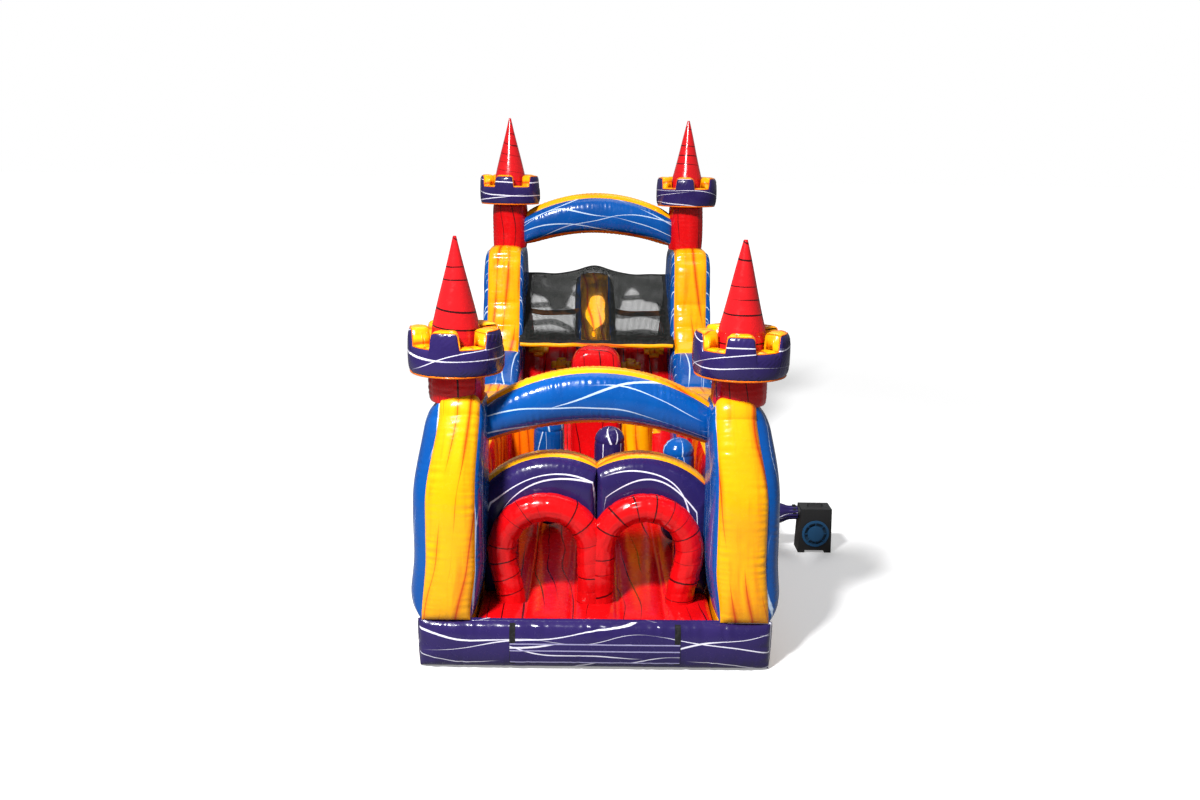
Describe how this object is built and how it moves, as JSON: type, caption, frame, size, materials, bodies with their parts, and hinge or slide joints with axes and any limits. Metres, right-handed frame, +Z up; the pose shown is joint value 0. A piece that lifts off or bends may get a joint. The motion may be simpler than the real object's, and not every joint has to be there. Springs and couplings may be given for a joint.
{
  "type": "inflatable obstacle course",
  "caption": "Two-lane inflatable obstacle course with castle towers, tunnel holes, leaning pillars, a climbing wall under a net, a slide and a blower.",
  "frame": {"origin": "on the ground at the middle of the inflatable's footprint, with the blower left out of it", "axes": "+Z up, +Y from the entrance towards the slide's end, +X to the right of someone walking in, where the blower stands"},
  "size_m": [5.142, 12.01, 5.76],
  "materials": {
    "red_vinyl": "glossy PVC-coated cloth, red with fine black veins",
    "yellow_vinyl": "glossy PVC-coated cloth, golden yellow with orange veins",
    "blue_vinyl": "glossy PVC-coated cloth, blue with fine white veins",
    "purple_vinyl": "glossy PVC-coated cloth, purple with white veins",
    "mesh": "open black safety mesh",
    "webbing": "woven black webbing and hook-and-loop tape",
    "black_plastic": "moulded, finely textured",
    "blue_plastic": "moulded, satin",
    "fan_plastic": "moulded",
    "steel": "zinc plated",
    "motor_metal": "black paint",
    "foot_rubber": "matt"
  },
  "bodies": {
    "course": {"front_panel": "purple_vinyl", "banner_panel": "purple_vinyl", "banner_strips": "webbing", "floor_bed": "red_vinyl", "rear_base": "red_vinyl", "side_base_left": "yellow_vinyl", "side_base_right": "yellow_vinyl", "front_column_left": "yellow_vinyl", "front_column_right": "yellow_vinyl", "side_wall_left": "blue_vinyl", "side_wall_right": "blue_vinyl", "rear_wall_left": "blue_vinyl", "rear_wall_right": "blue_vinyl", "slide_wall_left": "blue_vinyl", "slide_wall_right": "blue_vinyl", "rear_bumper": "purple_vinyl", "tunnel_wall": "purple_vinyl", "tunnel_rings": "red_vinyl", "front_arch": "blue_vinyl", "rear_arch": "blue_vinyl", "front_spire_left": "red_vinyl", "front_spire_right": "red_vinyl", "rear_spire_left": "red_vinyl", "rear_spire_right": "red_vinyl", "front_crown_left": "purple_vinyl", "front_crown_right": "purple_vinyl", "rear_crown_left": "purple_vinyl", "rear_crown_right": "purple_vinyl", "climb_wall_left": "red_vinyl", "climb_wall_right": "red_vinyl", "climbing_holds": "yellow_vinyl", "slide_bed": "red_vinyl", "centre_divider": "yellow_vinyl", "slide_divider": "yellow_vinyl", "divider_nose": "red_vinyl", "safety_net": "mesh", "anchor_tabs": "webbing", "zip_tape": "webbing", "blower_front_shell": "black_plastic", "blower_back_shell": "black_plastic", "intake_grille": "blue_plastic", "blower_motor": "motor_metal", "blower_feet": "foot_rubber", "blower_handle": "black_plastic", "switch_plate": "black_plastic", "outlet_nozzle": "black_plastic", "inflation_tube": "purple_vinyl", "tube_strap": "webbing"},
    "impeller": {"impeller": "fan_plastic"},
    "switch_rocker": {"switch_rocker": "blue_plastic"},
    "zip_slider": {"zip_slider": "steel"},
    "pillar_purple": {"pillar_purple": "purple_vinyl"},
    "pillar_blue": {"pillar_blue": "blue_vinyl"},
    "pillar_yellow": {"pillar_yellow": "yellow_vinyl"},
    "pillar_blue_side": {"pillar_blue_side": "blue_vinyl"},
    "pillar_orange": {"pillar_orange": "yellow_vinyl"},
    "anchor_ring_front_left": {"anchor_ring_front_left": "steel"},
    "anchor_ring_front_right": {"anchor_ring_front_right": "steel"},
    "anchor_ring_rear_left": {"anchor_ring_rear_left": "steel"},
    "anchor_ring_rear_right": {"anchor_ring_rear_right": "steel"}
  },
  "joints": [
    {"name": "pillar_purple_lean", "type": "hinge", "parent": "course", "child": "pillar_purple", "pos_m": [0.17, -2.9, 0.709], "axis": [1, 0, 0], "range_deg": [-20, 20], "stiffness_Nm_per_rad": 120},
    {"name": "pillar_blue_lean", "type": "hinge", "parent": "course", "child": "pillar_blue", "pos_m": [-0.6, -2.95, 0.709], "axis": [1, 0, 0], "range_deg": [-20, 20], "stiffness_Nm_per_rad": 120},
    {"name": "pillar_yellow_lean", "type": "hinge", "parent": "course", "child": "pillar_yellow", "pos_m": [0.56, -1.95, 0.724], "axis": [1, 0, 0], "range_deg": [-20, 20], "stiffness_Nm_per_rad": 120},
    {"name": "pillar_blue_side_lean", "type": "hinge", "parent": "course", "child": "pillar_blue_side", "pos_m": [1.005, -3.5, 0.709], "axis": [1, 0, 0], "range_deg": [-20, 20], "stiffness_Nm_per_rad": 120},
    {"name": "pillar_orange_lean", "type": "hinge", "parent": "course", "child": "pillar_orange", "pos_m": [-0.985, -1.4, 0.724], "axis": [1, 0, 0], "range_deg": [-20, 20], "stiffness_Nm_per_rad": 120},
    {"name": "impeller_spin", "type": "hinge", "parent": "course", "child": "impeller", "pos_m": [2.97, -2.417, 0.27], "axis": [0, 1, 0], "continuous": true},
    {"name": "switch_rock", "type": "hinge", "parent": "course", "child": "switch_rocker", "pos_m": [3.008, -2.187, 0.475], "axis": [1, 0, 0], "range_deg": [0, 16]},
    {"name": "zip_slide", "type": "slide", "parent": "course", "child": "zip_slider", "axis": [0, 1, 0], "range_m": [0, 0.66]},
    {"name": "anchor_ring_front_left_swing", "type": "hinge", "parent": "course", "child": "anchor_ring_front_left", "pos_m": [-1.854, -4.1, 0.11], "axis": [0, 1, 0], "range_deg": [0, 140]},
    {"name": "anchor_ring_front_right_swing", "type": "hinge", "parent": "course", "child": "anchor_ring_front_right", "pos_m": [1.854, -4.1, 0.11], "axis": [0, -1, 0], "range_deg": [0, 140]},
    {"name": "anchor_ring_rear_left_swing", "type": "hinge", "parent": "course", "child": "anchor_ring_rear_left", "pos_m": [-1.854, 5, 0.11], "axis": [0, 1, 0], "range_deg": [0, 140]},
    {"name": "anchor_ring_rear_right_swing", "type": "hinge", "parent": "course", "child": "anchor_ring_rear_right", "pos_m": [1.854, 5, 0.11], "axis": [0, -1, 0], "range_deg": [0, 140]}
  ]
}
